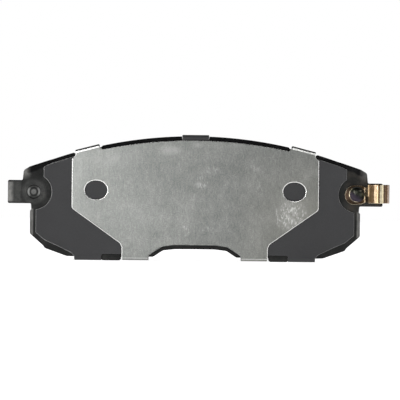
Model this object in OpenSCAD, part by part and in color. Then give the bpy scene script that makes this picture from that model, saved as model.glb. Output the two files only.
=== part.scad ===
// Disc brake pad, front axle, standing on the feet of its backing plate.
// X runs along the pad, Z is the rotor's radial direction, Y is the thickness.
// The caliper side faces -Y and the friction side faces +Y.
// The origin is the centre of the outer shim's caliper-side face, on the line of the two ears.

/* [Backing plate] */
// Length over both ears
plate_length = 142.4; // [141:0.1:144]
// Thickness of the backing plate
plate_t = 5.5; // [5:0.1:6.5]
// Height of each guide ear
ear_h = 8.8; // [8:0.1:9.4]
// Radius of the plate's upper edge
top_edge_r = 164; // [162:1:168]
// Height of the upper edge over the ear line, at the middle
top_edge_z = 21.7; // [21.5:0.1:22]
// Radius of the holes that key the lining to the plate
key_hole_r = 5; // [3:0.5:6.5]
// Distance of each keying hole from the middle
key_hole_x = 27; // [22:1:34]

/* [Lining] */
// Thickness of the cured bond
film_t = 0.15; // [0.1:0.05:0.2]
// Thickness of the underlayer
underlayer_t = 1.85; // [1.5:0.05:2.2]
// Thickness of the friction block over the underlayer
friction_t = 8.8; // [6:0.1:10]
// Width of the slot in the friction block
slot_w = 2.6; // [1.5:0.1:4]
// Length of the chamfer at each end of the friction block
chamfer_l = 9; // [4:0.5:14]
// Depth of that chamfer
chamfer_d = 3; // [1:0.25:5]

/* [Shims] */
// Thickness of the stainless outer shim
outer_t = 0.5; // [0.4:0.05:0.6]
// Thickness of the inner shim's steel core
core_t = 0.5; // [0.4:0.05:0.6]
// Thickness of each rubber coat on the core
coat_t = 0.15; // [0.1:0.05:0.2]
// How far the bent tabs reach over the plate, from the outer shim's face
tab_reach = 5.6; // [4.5:0.1:6.5]
// Width of the outer shim's oval holes
hole_w = 8.5; // [8:0.1:9]
// Height of the outer shim's oval holes
hole_h = 7.2; // [6.5:0.1:7.8]
// Distance of the oval holes from the middle
hole_x = 37.6; // [36:0.1:39]

/* [Wear indicator] */
// Thickness of the spring strip
strip_t = 0.8; // [0.6:0.05:0.9]
// Width of the spring strip
strip_w = 7.1; // [6:0.1:7.4]
// Radius of the eyelet's round end
eyelet_r = 3.75; // [3.5:0.05:3.9]
// Radius of the rivet's shank
rivet_r = 1.6; // [1.3:0.05:1.8]
// Radius of the rivet's domed head
rivet_head_r = 3; // [2.5:0.1:3.1]

/* [Hidden] */
$fn = 64;

half = plate_length / 2;
ear_z = ear_h / 2;

// the stack through the thickness, from the outer shim's face towards the rotor
y_in = outer_t;                       // inner shim starts
y_core = y_in + coat_t;
y_front = y_core + core_t;
y_plate = y_front + coat_t;           // caliper-side face of the backing plate
y_film = y_plate + plate_t;
y_under = y_film + film_t;
y_block = y_under + underlayer_t;
y_rotor = y_block + friction_t;       // friction face

// centre of the rivet, and of the half-pierced pip on the other ear
fix_x = 61.3;
fix_z = 0.2;
bottom_z = -24.4;                     // lower edge of the plate between its feet
foot_z = -25.8;
bend_r = 0.5;                         // inside radius of every bent tab

// ---- outlines ----

function dir(v) = v / norm(v);

// one corner of an outline, replaced by an arc of radius r
function corner(a, p, b, r) =
    r <= 0 ? [p] :
    let (u = dir(a - p), v = dir(b - p), t = acos(u * v) / 2,
         c = p + dir(u + v) * r / sin(t),
         s = p + u * r / tan(t) - c, e = p + v * r / tan(t) - c,
         a0 = atan2(s.y, s.x), turn = (atan2(e.y, e.x) - a0 + 540) % 360 - 180,
         n = max(2, ceil(abs(turn) / 15)))
    [for (i = [0:n]) c + r * [cos(a0 + turn * i / n), sin(a0 + turn * i / n)]];

// an open line of [x, z, radius] corners, rounded; the two ends stay sharp
function rounded(p) = [for (i = [0:len(p) - 1])
    each (i == 0 || i == len(p) - 1) ? [[p[i].x, p[i].y]] :
        corner([p[i - 1].x, p[i - 1].y], [p[i].x, p[i].y], [p[i + 1].x, p[i + 1].y], p[i][2])];

// points on an arc that is symmetric about the middle, from x0 to x1
function arc_top(r, z0, x0, x1, n = 12) =
    [for (i = [0:n]) let (x = x0 + (x1 - x0) * i / n) [x, z0 - r + sqrt(r * r - x * x)]];

// both halves of an outline, from its right half listed from the top middle to the bottom middle
module both_halves(right) {
    polygon(concat(right, [for (i = [len(right) - 1:-1:0]) if (abs(right[i].x) > 0.001) [-right[i].x, right[i].y]]));
}

// a flat sheet that fills y0 to y1
module sheet(y0, y1) {
    translate([0, y1, 0]) rotate([90, 0, 0]) linear_extrude(y1 - y0) children();
}

recess_d = 0.45;

// a point on the plate's upper edge, or depth d below it, with the corner radius r
function at_top(x, d, r = 0) = [x, top_edge_z - top_edge_r + sqrt(top_edge_r * top_edge_r - x * x) - d, r];

plate_line = concat(
    rounded([[0, 20.8], [5.15, 20.8, 0.15], [5.25, top_edge_z - 0.09, 0.1], [7, top_edge_z - 0.15]]),
    arc_top(top_edge_r, top_edge_z, 9, 34, 6),
    // shallow recess under the outer shim's upper tab
    rounded([at_top(34.4, 0), at_top(35.4, 0, 0.4), at_top(35.8, recess_d, 0.2), at_top(38, recess_d, 0)]),
    [for (x = [39.5:1.5:44]) let (p = at_top(x, recess_d)) [p.x, p.y]],
    rounded([at_top(45, recess_d), at_top(45.9, recess_d, 0.2), at_top(46.3, 0, 0.4), at_top(47.5, 0)]),
    arc_top(top_edge_r, top_edge_z, 49, 54, 2),
    rounded([[56, top_edge_z - 9.75], [62.9, 9.6, 2], [65.2, 8.2, 1.4], [65.6, ear_z, 0.5],
        [half, ear_z, 0.6], [half, -ear_z, 0.6], [62.4, -ear_z, 0.5], [62.2, -6.7, 0.5],
        [62.7, -7.2, 0.4], [62.7, -15.9, 1.2], [57.7, -20.3, 2], [56.9, -21.4, 0.8],
        [48.7, -24.3, 2.5], [45, bottom_z, 3], [35.3, bottom_z, 0.2], [35.3, foot_z, 0.8],
        [28.2, foot_z, 0.8], [28.1, bottom_z, 0.2], [15.8, bottom_z + 0.1, 1.4],
        [12, -21.8, 2.5], [7.5, -21.3, 6], [0, -21.25]]));

inner_line = concat(
    [[0, 19.93]],
    arc_top(168, 19.93, 6.2, 55),
    rounded([[56, 10.25], [57.5, 9.6, 1], [57.5, 0, 0], [60.4, -0.5, 0], [60.4, -15.5, 0.8],
        [57, -18.3, 1.5], [52, -20.5, 3], [46.7, -23.1, 0.8], [45.9, bottom_z, 0.3],
        [35.3, bottom_z, 0.3], [35.1, -23.4, 0.5], [17, -23.4, 1.2], [12.8, -19.9, 2.5], [7.5, -19.3, 6], [0, -19.3]]));

outer_line = concat(
    [[0, 20.1]],
    arc_top(168, 20.1, 4, 34.5),
    rounded([[35.1, 16.38], [36.35, 17.3, 0.2], [45.5, 14.95, 0.2], [45.55, 13.95, 0.4],
        [46.85, 12.75, 0.3], [46.85, -6.1, 1.8], [28.4, -19.2, 1.2], [27.8, -20.6, 1],
        [27.8, -24.6, 0], [17.4, -24.6, 0], [17.2, -23.8, 0.3], [16.2, -22.8, 1],
        [12.2, -20.3, 2.5], [7.5, -19.7, 6], [0, -19.7]]));

lining_line = concat(
    [[0, 19.8]],
    arc_top(162, 19.8, 3, 53),
    rounded([[55, 10.15], [58.4, 8.7, 2.5], [59.2, -14.2, 2.5], [54.4, -19.4, 3],
        [47.5, -22.3, 3], [17, -22.3, 1.5], [12.5, -18.9, 3], [7, -18.4, 6], [0, -18.4]]));

// ---- bent tabs ----

// One tab, seen with its root along local X and its outward direction along local +Z.
// It starts flat between y0 and y1, turns about the line y = yc and then runs towards +Y.
module tab(y0, y1, yc, w, reach, root = 1.5) {
    rotate([90, 0, 90]) translate([0, 0, -w / 2]) linear_extrude(w) {
        translate([y0, -root]) square([y1 - y0, root]);
        intersection() {
            difference() {
                translate([yc, 0]) circle(yc - y0);
                translate([yc, 0]) circle(yc - y1);
            }
            translate([yc - 5, 0]) square([5, 5]);
        }
        translate([yc, yc - y1]) square([reach - yc, y1 - y0]);
    }
}

// where each tab of a shim starts: [x, z, turn about Y, width, root]
// upper tabs follow the plate's upper edge, which leans by edge_turn there
edge_turn = asin(41 / top_edge_r);
edge_z = top_edge_z - top_edge_r + sqrt(top_edge_r * top_edge_r - 41 * 41);
outer_tabs = [for (s = [-1, 1]) each [
    [s * (41 - 0.3 * sin(edge_turn)), edge_z - 0.3, s * edge_turn, 9.4, 1.9],
    [s * 22.6, -bottom_z + 0.2, 180, 10.2, 1.5]]];
inner_tabs = [[0, 20.85, 0, 10.2, 1.4], for (s = [-1, 1]) [s * 40.55, -bottom_z + 0.05, 180, 10.1, 1.2]];

module tabs(list, y0, y1, yc, reach) {
    for (t = list) {
        z = t[2] == 180 ? -t[1] : t[1];
        translate([t[0], 0, z]) rotate([0, t[2], 0]) tab(y0, y1, yc, t[3], reach, t[4]);
    }
}

module eyelet_clearance() {
    for (s = [-1, 1]) translate([s * 61.1, 0]) circle(6.7);
}

module inner_layer(y0, y1) {
    sheet(y0, y1) difference() {
        both_halves(inner_line);
        eyelet_clearance();
    }
    tabs(inner_tabs, y0, y1, y_plate + bend_r, tab_reach + 0.4);
}

// ---- pieces ----

module backing_plate() {
    color("#1c1c1e") difference() {
        sheet(y_plate, y_film) both_halves(plate_line);
        // keying holes, filled by the underlayer
        for (s = [-1, 1]) translate([s * key_hole_x, y_plate - 1, 0]) rotate([-90, 0, 0])
            cylinder(r = key_hole_r, h = plate_t + 2);
        // rivet hole, countersunk on the friction side
        translate([fix_x, y_plate - 1, fix_z]) rotate([-90, 0, 0]) cylinder(r = rivet_r + 0.02, h = plate_t + 2);
        translate([fix_x, y_film - 1, fix_z]) rotate([-90, 0, 0])
            cylinder(r1 = rivet_r + 0.02, r2 = rivet_r + 1.02, h = 1);
        // half-pierced pip on the other ear: a ring recess on the caliper side, a shallow dimple in its centre
        translate([-fix_x, y_plate, 0]) rotate([-90, 0, 0]) difference() {
            translate([0, 0, -1]) cylinder(r = 2.5, h = 1.5);
            translate([0, 0, -2]) cylinder(r = 1.5, h = 4);
        }
        translate([-fix_x, y_plate - 0.1, 0]) rotate([-90, 0, 0]) cylinder(r = 0.5, h = 0.35);
    }
}

module adhesive_film() {
    color("#3a2a1e") sheet(y_film, y_under) difference() {
        both_halves(lining_line);
        for (s = [-1, 1]) translate([s * key_hole_x, 0]) circle(key_hole_r);
    }
}

module underlayer() {
    color("#4a4038") {
        sheet(y_under, y_block) both_halves(lining_line);
        for (s = [-1, 1]) translate([s * key_hole_x, y_plate, 0]) rotate([-90, 0, 0])
            cylinder(r = key_hole_r, h = y_under - y_plate + 0.5);
    }
}

module friction_block() {
    color("#5a5854") difference() {
        sheet(y_block, y_rotor) both_halves(lining_line);
        // slot, open at both edges, that stops short of the underlayer
        translate([-slot_w / 2, y_block + 1, -40]) cube([slot_w, friction_t, 80]);
        // chamfered ends
        for (s = [0, 1]) mirror([s, 0, 0]) rotate([0, 0, 0]) linear_extrude(100, center = true)
            polygon([[59.5 - chamfer_l, y_rotor + 0.01], [61, y_rotor - chamfer_d - chamfer_d * 1.5 / chamfer_l],
                [61, y_rotor + 2], [59.5 - chamfer_l, y_rotor + 2]]);
    }
}

module inner_shim_core() {
    color("#8d8f90") inner_layer(y_core, y_front);
}

module inner_shim_rear_rubber() {
    color("#434345") inner_layer(y_in, y_core);
}

module inner_shim_front_rubber() {
    color("#3c3c3e") inner_layer(y_front, y_plate);
}

module outer_shim() {
    color("#989a96") difference() {
        union() {
            sheet(0, outer_t) both_halves(outer_line);
            tabs(outer_tabs, 0, outer_t, outer_t + bend_r, tab_reach);
        }
        for (s = [-1, 1]) translate([0, outer_t + 1, 0.9]) rotate([90, 0, 0]) linear_extrude(outer_t + 2) {
            for (e = [-1, 1]) translate([s * hole_x + e * (hole_w - hole_h) / 2, 0]) circle(hole_h / 2);
            translate([s * hole_x, 0]) square([hole_w - hole_h, hole_h], center = true);
        }
    }
}

// The strip's centre line seen from above, as [x, y, bend radius]: flat under the rivet head,
// up over the ear in a shallow hump, down past the ear's end and on towards the rotor.
eyelet_x = 60.5;
strip_z = 0.4;
strip_y = y_plate - strip_t / 2;
strip_end_y = y_block + 1.2;
strip_path = [[eyelet_x, strip_y], [64.6, strip_y, 0.7], [65.8, -1.1, 0.7], [67.7, -1.3, 1], [69.2, -1.9, 1.5],
    [70.9, -1.5, 0.7], [71.75, 0.65, 0.7], [73.4, 1.15, 1], [73.4, strip_end_y - 1.6, 1.5], [72.7, strip_end_y]];

strip_mid = rounded(strip_path);
function side_at(i, d) =
    let (a = strip_mid[max(i - 1, 0)], b = strip_mid[min(i + 1, len(strip_mid) - 1)], t = dir(b - a))
    strip_mid[i] + d * [-t.y, t.x];

module wear_indicator() {
    color("#b08a4e") difference() {
        union() {
            translate([eyelet_x, y_plate - strip_t, -0.05]) rotate([-90, 0, 0]) cylinder(r = eyelet_r, h = strip_t);
            translate([0, 0, strip_z]) linear_extrude(strip_w, center = true)
                polygon(concat([for (i = [0:len(strip_mid) - 1]) side_at(i, strip_t / 2)],
                    [for (i = [len(strip_mid) - 1:-1:0]) side_at(i, -strip_t / 2)]));
        }
        // the strip narrows to a neck where it leaves the eyelet
        for (s = [-1, 1]) translate([65, -4, 0.1 + s * 4.8]) rotate([-90, 0, 0]) cylinder(r = 1.8, h = 6);
        // and the corners between the round end and the straight edges are dressed off
        translate([eyelet_x - 1, -4, eyelet_r - 0.15]) cube([4.6, 8, 2]);
        translate([fix_x, -4, fix_z]) rotate([-90, 0, 0]) cylinder(r = rivet_r + 0.02, h = 8);
    }
}

module wear_indicator_rivet() {
    color("#26282a") translate([fix_x, 0, fix_z]) rotate([-90, 0, 0]) rotate_extrude() {
        // shank, upset into the countersink on the friction side
        polygon([[0, y_plate - strip_t - 0.2], [rivet_r, y_plate - strip_t - 0.2], [rivet_r, y_film - 1],
            [rivet_r + 0.95, y_film - 0.05], [0, y_film - 0.05]]);
        // domed head on the caliper side
        intersection() {
            translate([0, y_plate - strip_t - 1.25 + 3.9]) circle(r = 3.9, $fn = 96);
            translate([0, y_plate - strip_t - 1.3]) square([rivet_head_r, 1.3]);
        }
    }
}

backing_plate();
adhesive_film();
underlayer();
friction_block();
inner_shim_core();
inner_shim_rear_rubber();
inner_shim_front_rubber();
outer_shim();
wear_indicator();
wear_indicator_rivet();
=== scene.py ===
import math
import random

import bmesh
import bpy
import numpy as np
from mathutils import Matrix, Vector, geometry, noise


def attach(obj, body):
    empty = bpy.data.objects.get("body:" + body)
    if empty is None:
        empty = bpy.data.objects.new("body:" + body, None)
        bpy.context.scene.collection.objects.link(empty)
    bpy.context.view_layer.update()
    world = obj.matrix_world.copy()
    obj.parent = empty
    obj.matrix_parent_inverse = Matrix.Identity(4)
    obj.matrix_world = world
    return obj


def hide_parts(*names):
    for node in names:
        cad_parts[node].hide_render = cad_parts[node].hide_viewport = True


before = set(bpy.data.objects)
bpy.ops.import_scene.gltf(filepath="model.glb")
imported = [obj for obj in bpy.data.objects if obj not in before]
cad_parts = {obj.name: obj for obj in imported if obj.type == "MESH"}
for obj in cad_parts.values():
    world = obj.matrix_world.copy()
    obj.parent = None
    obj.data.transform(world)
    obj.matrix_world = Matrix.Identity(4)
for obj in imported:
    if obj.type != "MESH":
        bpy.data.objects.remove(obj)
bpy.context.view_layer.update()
random.seed(7)

MM = 0.001

# ------------------------------------------------------------------ sizes, in millimetres, as in the CAD model
HALF = 71.2
EAR = 4.4
TOP_R, TOP_Z = 164.0, 21.7
BOTTOM, FOOT = -24.4, -25.8
Y_IN, Y_CORE, Y_FRONT, Y_PLATE = 0.5, 0.65, 1.15, 1.3
Y_FILM, Y_UNDER, Y_BLOCK, Y_ROTOR = 6.8, 6.95, 8.8, 17.6
FIX_X, FIX_Z = 61.3, 0.2
KEY_X, KEY_R = 27.0, 5.0
BEND = 0.5
HOLE_X, HOLE_Z = 37.6, 0.9
REACH = 5.6


# ------------------------------------------------------------------ outline helpers

def arc_z(r, z0, x):
    return z0 - r + math.sqrt(r * r - x * x)


def arc_pts(r, z0, x0, x1, n, w=0.0):
    return [(x0 + (x1 - x0) * i / n, arc_z(r, z0, x0 + (x1 - x0) * i / n), 0.0, w) for i in range(n + 1)]


def mirrored(right):
    """A closed control outline from its right half, listed from the top middle to the bottom middle."""
    left = [(-p[0],) + tuple(p[1:]) for p in reversed(right) if abs(p[0]) > 1e-6]
    return list(right) + left


def control_inset(ctrl, f):
    """Move each control corner inwards by f times its own width (the fourth value). Outlines run clockwise."""
    n = len(ctrl)
    out = []
    for i in range(n):
        a, p, b = ctrl[i - 1], ctrl[i], ctrl[(i + 1) % n]
        u = np.array([p[0] - a[0], p[1] - a[1]])
        v = np.array([b[0] - p[0], b[1] - p[1]])
        u /= np.linalg.norm(u)
        v /= np.linalg.norm(v)
        # inward normals of a clockwise outline
        nu, nv = np.array([u[1], -u[0]]), np.array([v[1], -v[0]])
        du = f * (a[3] + p[3]) / 2
        dv = f * (b[3] + p[3]) / 2
        cross = u[0] * v[1] - u[1] * v[0]
        if abs(cross) < 0.12:
            m = nu + nv
            m /= np.linalg.norm(m)
            off = m * f * p[3]
        else:
            # the point where the two shifted edges meet
            pu = np.array(p[:2]) + nu * du
            pv = np.array(p[:2]) + nv * dv
            t = ((pv - pu)[0] * v[1] - (pv - pu)[1] * v[0]) / cross
            off = pu + u * t - np.array(p[:2])
        # convex corners (turning right) lose radius, concave ones gain it
        r = p[2]
        if r > 0:
            r = max(0.03, r - f * p[3]) if cross < 0 else r + f * p[3]
        out.append((p[0] + off[0], p[1] + off[1], r, p[3]))
    return out


def rounded(ctrl, counts=None):
    """Corners to arcs. counts fixes the number of points for each corner, so that rings match."""
    n = len(ctrl)
    pts, used = [], []
    for i in range(n):
        a, p, b = [np.array(ctrl[j][:2], float) for j in (i - 1, i, (i + 1) % n)]
        r = ctrl[i][2]
        if r <= 0:
            pts.append(p)
            used.append(0)
            continue
        u, v = a - p, b - p
        lu, lv = np.linalg.norm(u), np.linalg.norm(v)
        u, v = u / lu, v / lv
        t = math.acos(max(-1, min(1, float(u @ v)))) / 2
        cut = r / math.tan(t)
        lim = 0.49 * min(lu, lv)
        if cut > lim:
            r *= lim / cut
            cut = lim
        c = p + (u + v) / np.linalg.norm(u + v) * r / math.sin(t)
        s, e = p + u * cut - c, p + v * cut - c
        a0 = math.atan2(s[1], s[0])
        turn = (math.atan2(e[1], e[0]) - a0 + 3 * math.pi) % (2 * math.pi) - math.pi
        k = counts[i] if counts else max(3, math.ceil(abs(turn) / math.radians(11)))
        used.append(k)
        for j in range(k + 1):
            q = a0 + turn * j / k
            pts.append(c + r * np.array([math.cos(q), math.sin(q)]))
    return pts, used


def dense(pts, step):
    """Returns the points as they are; it adds no extra points."""
    return pts


def rings(ctrl, profile):
    """Loops of 3-D points from a control outline. profile lists (inset factor, y)."""
    _, counts = rounded(ctrl)
    loops = []
    for f, y in profile:
        p, _ = rounded(control_inset(ctrl, f) if f else ctrl, counts)
        loops.append([(q[0], y, q[1]) for q in p])
    return loops


def round_profile(y0, y1, h0, h1, k=4):
    """(inset factor, y) down a rounded edge at y0, the side wall and a rounded edge at y1."""
    out = []
    for i in range(k + 1):
        a = math.pi / 2 * i / k
        out.append((1 - math.sin(a), y0 + h0 * (1 - math.cos(a))))
    out[0] = (1.0, y0)
    for i in range(k + 1):
        a = math.pi / 2 * (k - i) / k
        out.append((1 - math.sin(a), y1 - h1 * (1 - math.cos(a))))
    out[-1] = (1.0, y1)
    return out


def circle_ring(cx, cz, rx, rz, n, y, flat=0.0):
    """A ring of points around a hole, stretched along X by flat."""
    out = []
    for i in range(n):
        a = 2 * math.pi * i / n
        ca, sa = math.cos(a), math.sin(a)
        out.append((cx + rx * ca + (flat if ca > 1e-9 else -flat if ca < -1e-9 else 0), y, cz + rz * sa))
    return out


def loop_faces(bm, a, b, flip=False):
    n = len(a)
    for i in range(n):
        q = [a[i], a[(i + 1) % n], b[(i + 1) % n], b[i]]
        if flip:
            q.reverse()
        try:
            bm.faces.new(q)
        except ValueError:
            pass


def inside(x, z, loop):
    """Even-odd test of a point against a closed loop of (x, z)."""
    odd = False
    for i in range(len(loop)):
        (ax, az), (bx, bz) = loop[i - 1], loop[i]
        if (az > z) != (bz > z) and x < (bx - ax) * (z - az) / (bz - az) + ax:
            odd = not odd
    return odd


def cap(bm, outer, holes, facing):
    """Triangulates the flat region between one outer loop and hole loops. facing is -1 or +1 along Y."""
    vs = list(outer)
    edges = [(i, (i + 1) % len(outer)) for i in range(len(outer))]
    flat = []
    for h in holes:
        base = len(vs)
        vs += list(h)
        edges += [(base + i, base + (i + 1) % len(h)) for i in range(len(h))]
        flat.append([(v.co.x, v.co.z) for v in h])
    co = [Vector((v.co.x, v.co.z)) for v in vs]
    verts, _, faces, orig = geometry.delaunay_2d_cdt(co, edges, [], 1, 1e-6)[:4]
    m = [vs[o[0]] if o else bm.verts.new((verts[i].x, outer[0].co.y, verts[i].y)) for i, o in enumerate(orig)]
    for f in faces:
        cx = sum(verts[i].x for i in f) / len(f)
        cz = sum(verts[i].y for i in f) / len(f)
        tri = [m[i] for i in f]
        if len(set(tri)) < 3 or any(inside(cx, cz, h) for h in flat):
            continue
        if (tri[1].co - tri[0].co).cross(tri[2].co - tri[0].co).y * facing < 0:
            tri.reverse()
        if not bm.faces.get(tri):
            bm.faces.new(tri)


def solid_sheet(ctrl, profile, holes=(), hole_inset=0.0, hole_profile=None, edge_index=0):
    """A closed plate or sheet in bmesh, in mm. holes are (cx, cz, rx, rz, flat, segments)."""
    bm = bmesh.new()
    loops = [[bm.verts.new(p) for p in lp] for lp in rings(ctrl, profile)]
    for a, b in zip(loops, loops[1:]):
        loop_faces(bm, a, b)
    for f in bm.faces:
        f.material_index = edge_index
    inner_first, inner_last = [], []
    for cx, cz, rx, rz, flat, seg in holes:
        hl = []
        for f, y in (hole_profile or profile):
            g = f * hole_inset
            hl.append([bm.verts.new(p) for p in circle_ring(cx, cz, rx + g, rz + g, seg, y, flat)])
        for a, b in zip(hl, hl[1:]):
            loop_faces(bm, a, b, True)
        inner_first.append(hl[0])
        inner_last.append(hl[-1])
    for f in bm.faces:
        f.material_index = edge_index
    cap(bm, loops[0], inner_first, -1)
    cap(bm, loops[-1], inner_last, 1)
    bmesh.ops.remove_doubles(bm, verts=bm.verts, dist=1e-5)
    bmesh.ops.recalc_face_normals(bm, faces=bm.faces)
    return bm


def finish_mesh(bm, name, body, mats, replaces=(), weighted=True, scale=MM):
    me = bpy.data.meshes.new(name)
    bmesh.ops.scale(bm, vec=(scale,) * 3, verts=bm.verts)
    bmesh.ops.recalc_face_normals(bm, faces=bm.faces)
    bm.to_mesh(me)
    bm.free()
    ob = bpy.data.objects.new(name, me)
    bpy.context.scene.collection.objects.link(ob)
    for p in me.polygons:
        p.use_smooth = True
    for m in mats if isinstance(mats, (list, tuple)) else [mats]:
        me.materials.append(m)
    if weighted:
        w = ob.modifiers.new("normals", "WEIGHTED_NORMAL")
        w.mode = "FACE_AREA"
        w.weight = 90
        w.keep_sharp = True
    if body:
        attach(ob, body)
    for n in replaces:
        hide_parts(n)
    return ob


# ------------------------------------------------------------------ materials

class Mat:
    """A small helper to lay out shader nodes."""

    def __init__(self, name):
        self.m = bpy.data.materials.new(name)
        self.m.use_nodes = True
        self.t = self.m.node_tree
        self.b = self.t.nodes["Principled BSDF"]
        self.co = self.t.nodes.new("ShaderNodeTexCoord").outputs["Object"]

    def n(self, kind, ins=None, **attrs):
        node = self.t.nodes.new("ShaderNode" + kind)
        for k, v in attrs.items():
            setattr(node, k, v)
        for k, v in (ins or {}).items():
            s = node.inputs[k]
            if isinstance(v, bpy.types.NodeSocket):
                self.t.links.new(v, s)
            else:
                s.default_value = v
        return node

    def link(self, out, name):
        self.t.links.new(out, self.b.inputs[name])

    def mapping(self, scale=(1, 1, 1), rot=(0, 0, 0), loc=(0, 0, 0), src=None):
        return self.n("Mapping", {"Vector": src or self.co, "Scale": scale, "Rotation": rot, "Location": loc}).outputs[0]

    def noise(self, scale, detail=3.0, rough=0.55, vec=None, dist=0.0):
        return self.n("TexNoise", {"Vector": vec or self.co, "Scale": scale, "Detail": detail, "Roughness": rough,
                                   "Distortion": dist}).outputs["Fac"]

    def ramp(self, fac, stops, interp="LINEAR"):
        r = self.n("ValToRGB", {"Fac": fac})
        r.color_ramp.interpolation = interp
        e = r.color_ramp.elements
        while len(e) < len(stops):
            e.new(0.5)
        for el, (p, c) in zip(e, stops):
            el.position = p
            el.color = (c[0], c[1], c[2], 1) if isinstance(c, (tuple, list)) else (c, c, c, 1)
        return r.outputs["Color"]

    def mix(self, fac, a, b, blend="MIX"):
        n = self.t.nodes.new("ShaderNodeMix")
        n.data_type = "RGBA"
        n.blend_type = blend
        for s, v in ((n.inputs[0], fac), (n.inputs[6], a), (n.inputs[7], b)):
            if isinstance(v, bpy.types.NodeSocket):
                self.t.links.new(v, s)
            elif isinstance(v, (tuple, list)):
                s.default_value = (*v[:3], 1)
            else:
                s.default_value = v
        return n.outputs[2]

    def math(self, op, a, b=0.0, c=0.0, clamp=False):
        n = self.t.nodes.new("ShaderNodeMath")
        n.operation = op
        n.use_clamp = clamp
        for s, v in zip(n.inputs, (a, b, c)):
            if isinstance(v, bpy.types.NodeSocket):
                self.t.links.new(v, s)
            else:
                s.default_value = v
        return n.outputs[0]

    def span(self, v, lo, hi, to_lo=0.0, to_hi=1.0):
        return self.n("MapRange", {"Value": v, "From Min": lo, "From Max": hi, "To Min": to_lo, "To Max": to_hi}).outputs[0]

    def xyz(self):
        s = self.n("SeparateXYZ", {"Vector": self.co})
        return s.outputs[0], s.outputs[1], s.outputs[2]

    def bump(self, height, dist, strength=1.0, normal=None):
        ins = {"Height": height, "Distance": dist, "Strength": strength}
        if normal is not None:
            ins["Normal"] = normal
        return self.n("Bump", ins).outputs[0]

    def edge(self, radius=0.0004, power=1.0):
        """0 on flat ground, towards 1 on sharp edges."""
        bev = self.n("Bevel", {"Radius": radius}, samples=4).outputs[0]
        geo = self.n("NewGeometry")
        dot = self.n("VectorMath", {0: bev, 1: geo.outputs["Normal"]}, operation="DOT_PRODUCT").outputs["Value"]
        return self.span(dot, 0.999, 0.9, 0.0, 1.0)

    def set(self, **kw):
        names = {"rough": "Roughness", "metal": "Metallic", "ior": "IOR", "spec": "Specular IOR Level", "coat": "Coat Weight",
                 "coat_rough": "Coat Roughness", "aniso": "Anisotropic", "aniso_rot": "Anisotropic Rotation",
                 "sheen": "Sheen Weight", "sheen_rough": "Sheen Roughness", "color": "Base Color"}
        for k, v in kw.items():
            self.b.inputs[names[k]].default_value = (*v, 1) if isinstance(v, (tuple, list)) else v


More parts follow.
